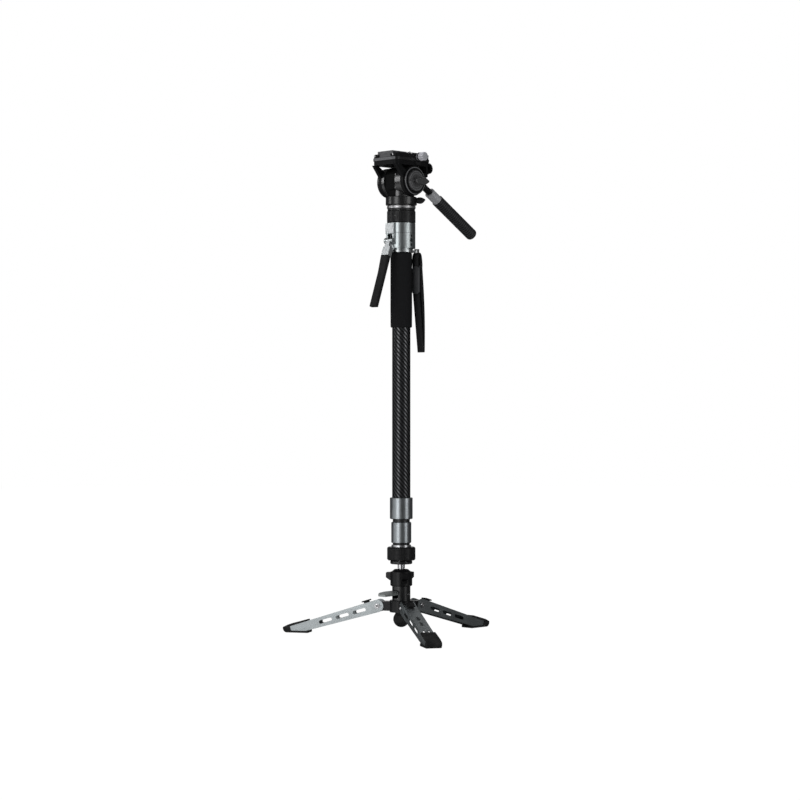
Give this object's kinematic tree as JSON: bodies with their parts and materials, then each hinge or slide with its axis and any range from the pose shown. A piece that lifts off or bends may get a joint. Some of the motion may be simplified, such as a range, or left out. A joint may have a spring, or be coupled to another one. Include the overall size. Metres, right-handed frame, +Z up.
{
  "type": "camera monopod",
  "caption": "Video monopod on a folding three-legged base with a tilting ball, telescoping carbon tubes, a squeeze-lever release and a small fluid head with pan handle.",
  "frame": {"origin": "on the column's axis at the ground, under the ball of the base", "axes": "+Z up along the column, the head looks along -Y, +X to the operator's left"},
  "size_m": [0.3588, 0.3153, 0.7943],
  "materials": {
    "grey_metal": "satin anodised, blue-grey",
    "silver_metal": "turned, satin",
    "steel": "machined",
    "black_paint": "satin black",
    "carbon": "clear-coated carbon twill",
    "black_plastic": "moulded, matte",
    "nylon": "plain",
    "rubber": "matte",
    "foam": "matte foam",
    "webbing": "woven webbing",
    "dark_plastic": "moulded, satin"
  },
  "bodies": {
    "base": {"hub_spider": "black_paint", "hub_barrel": "black_paint", "ball_housing": "black_paint", "housing_cap": "black_paint", "stow_pads": "black_paint", "leg_pivot_pins": "steel", "ball_foot": "rubber", "ball_foot_stud": "steel"},
    "pedal": {"pedal": "grey_metal", "lock_plunger": "steel", "pedal_spring": "steel"},
    "race": {"swivel_race": "nylon"},
    "column": {"ball_stem": "steel", "foot_plug": "silver_metal", "tube_3": "carbon", "bush_3": "nylon"},
    "foot_ring": {"foot_ring": "black_paint"},
    "middle_tube": {"tube_2": "carbon", "collar_2": "grey_metal", "bush_2": "nylon"},
    "upper_tube": {"tube_1": "carbon", "collar_1": "grey_metal", "foam_grip": "foam", "strap_ring": "silver_metal", "strap_clip": "black_plastic", "release_body": "grey_metal", "lever_pin": "steel", "head_adapter": "silver_metal", "pan_base": "black_paint"},
    "lever": {"lever_arm": "silver_metal", "lever_grip": "black_plastic"},
    "rod": {"release_rod": "steel"},
    "strap": {"strap_slider": "dark_plastic", "strap_band": "webbing"},
    "lock_ring": {"head_lock_ring": "black_paint"},
    "pan_lock": {"pan_lock_wing": "black_plastic"},
    "head": {"head_tower": "black_paint", "tilt_axle": "steel"},
    "platform": {"platform_yoke": "black_paint", "platform_trim": "black_paint", "tilt_caps": "black_paint"},
    "tilt_lock": {"tilt_knob": "black_plastic"},
    "clamp": {"clamp_knob": "silver_metal"},
    "button": {"safety_button": "black_plastic"},
    "plate": {"quick_plate": "black_paint"},
    "screw": {"camera_screw": "steel"},
    "locator": {"locating_pin": "steel"},
    "handle": {"handle_arm": "black_paint", "handle_collar": "grey_metal", "handle_grip": "rubber"},
    "bolt": {"handle_bolt": "steel"},
    "leg_right": {"leg_channel_right": "grey_metal", "leg_shoe_right": "rubber"},
    "catch_right": {"leg_catch_right": "black_plastic"},
    "leg_rear": {"leg_channel_rear": "grey_metal", "leg_shoe_rear": "rubber"},
    "catch_rear": {"leg_catch_rear": "black_plastic"},
    "leg_left": {"leg_channel_left": "grey_metal", "leg_shoe_left": "rubber"},
    "catch_left": {"leg_catch_left": "black_plastic"}
  },
  "joints": [
    {"name": "leg_right_fold", "type": "hinge", "parent": "base", "child": "leg_right", "pos_m": [0.03291, -0.019, 0.0475], "axis": [-0.5, -0.866, 0], "range_deg": [0, 106.5]},
    {"name": "catch_right_press", "type": "slide", "parent": "leg_right", "child": "catch_right", "axis": [-0.2458, 0.1419, -0.9589], "range_m": [0, 0.0015], "stiffness_N_per_m": 400, "springref_m": -0.001},
    {"name": "leg_rear_fold", "type": "hinge", "parent": "base", "child": "leg_rear", "pos_m": [0, 0.038, 0.0475], "axis": [1, 0, 0], "range_deg": [0, 106.5]},
    {"name": "catch_rear_press", "type": "slide", "parent": "leg_rear", "child": "catch_rear", "axis": [0, -0.2839, -0.9589], "range_m": [0, 0.0015], "stiffness_N_per_m": 400, "springref_m": -0.001},
    {"name": "leg_left_fold", "type": "hinge", "parent": "base", "child": "leg_left", "pos_m": [-0.03291, -0.019, 0.0475], "axis": [-0.5, 0.866, 0], "range_deg": [0, 106.5]},
    {"name": "catch_left_press", "type": "slide", "parent": "leg_left", "child": "catch_left", "axis": [0.2458, 0.1419, -0.9589], "range_m": [0, 0.0015], "stiffness_N_per_m": 400, "springref_m": -0.001},
    {"name": "pedal_press", "type": "slide", "parent": "base", "child": "pedal", "axis": [0, 0, -1], "range_m": [0, 0.005], "stiffness_N_per_m": 1200, "springref_m": -0.004, "deforming": ["pedal_spring"]},
    {"name": "column_pan", "type": "hinge", "parent": "base", "child": "race", "pos_m": [0, 0, 0.0945], "axis": [0, 0, 1], "continuous": true},
    {"name": "column_tilt", "type": "hinge", "parent": "race", "child": "column", "pos_m": [0, 0, 0.0945], "axis": [1, 0, 0], "range_deg": [-15, 0]},
    {"name": "foot_ring_turn", "type": "hinge", "parent": "column", "child": "foot_ring", "pos_m": [0, 0, 0.1338], "axis": [0, 0, 1], "range_deg": [0, 60]},
    {"name": "middle_tube_extend", "type": "slide", "parent": "column", "child": "middle_tube", "axis": [0, 0, 1], "range_m": [0, 0.36]},
    {"name": "upper_tube_extend", "type": "slide", "parent": "middle_tube", "child": "upper_tube", "axis": [0, 0, 1], "range_m": [0, 0.36]},
    {"name": "lever_squeeze", "type": "hinge", "parent": "upper_tube", "child": "lever", "pos_m": [0, -0.026, 0.645], "axis": [1, 0, 0], "range_deg": [0, 16], "stiffness_Nm_per_rad": 1.2, "springref_deg": -20.05},
    {"name": "rod_lift", "type": "slide", "parent": "upper_tube", "child": "rod", "axis": [0, 0, 1], "range_m": [0, 0.0065]},
    {"name": "strap_swing", "type": "hinge", "parent": "upper_tube", "child": "strap", "pos_m": [0.01832, 0.02183, 0.603], "axis": [1, 0, 0], "range_deg": [0, 60]},
    {"name": "lock_ring_turn", "type": "hinge", "parent": "upper_tube", "child": "lock_ring", "pos_m": [0, 0, 0.685], "axis": [0, 0, 1], "range_deg": [0, 60]},
    {"name": "pan_lock_turn", "type": "hinge", "parent": "upper_tube", "child": "pan_lock", "pos_m": [0.02097, 0.01468, 0.712], "axis": [0.8192, 0.5736, 0], "range_deg": [0, 90]},
    {"name": "head_pan", "type": "hinge", "parent": "upper_tube", "child": "head", "pos_m": [0, 0, 0.72], "axis": [0, 0, 1], "continuous": true},
    {"name": "head_tilt", "type": "hinge", "parent": "head", "child": "platform", "pos_m": [0, 0, 0.7425], "axis": [1, 0, 0], "range_deg": [-45, 70]},
    {"name": "tilt_lock_turn", "type": "hinge", "parent": "platform", "child": "tilt_lock", "pos_m": [0.032, 0, 0.7425], "axis": [1, 0, 0], "range_deg": [-30, 60]},
    {"name": "clamp_turn", "type": "hinge", "parent": "platform", "child": "clamp", "pos_m": [0.029, 0.012, 0.783], "axis": [1, 0, 0], "range_deg": [0, 180]},
    {"name": "safety_press", "type": "slide", "parent": "platform", "child": "button", "axis": [-1, 0, 0], "range_m": [0, 0.0015], "stiffness_N_per_m": 300, "springref_m": -0.001},
    {"name": "plate_slide", "type": "slide", "parent": "platform", "child": "plate", "axis": [0, 1, 0], "range_m": [-0.02, 0.02]},
    {"name": "camera_screw_turn", "type": "hinge", "parent": "plate", "child": "screw", "pos_m": [0, -0.008, 0.7855], "axis": [0, 0, 1], "continuous": true},
    {"name": "locating_pin_press", "type": "slide", "parent": "plate", "child": "locator", "axis": [0, 0, -1], "range_m": [0, 0.0038], "stiffness_N_per_m": 100, "springref_m": -0.002},
    {"name": "handle_swing", "type": "hinge", "parent": "platform", "child": "handle", "pos_m": [-0.028, 0.043, 0.7666], "axis": [1, 0, 0], "range_deg": [-15, 75]},
    {"name": "handle_bolt_turn", "type": "hinge", "parent": "platform", "child": "bolt", "pos_m": [-0.034, 0.043, 0.7666], "axis": [-1, 0, 0], "range_deg": [0, 180]}
  ],
  "couplings": [
    {"joint": "rod_lift", "follows": "lever_squeeze", "m_per_rad": 0.0222}
  ]
}
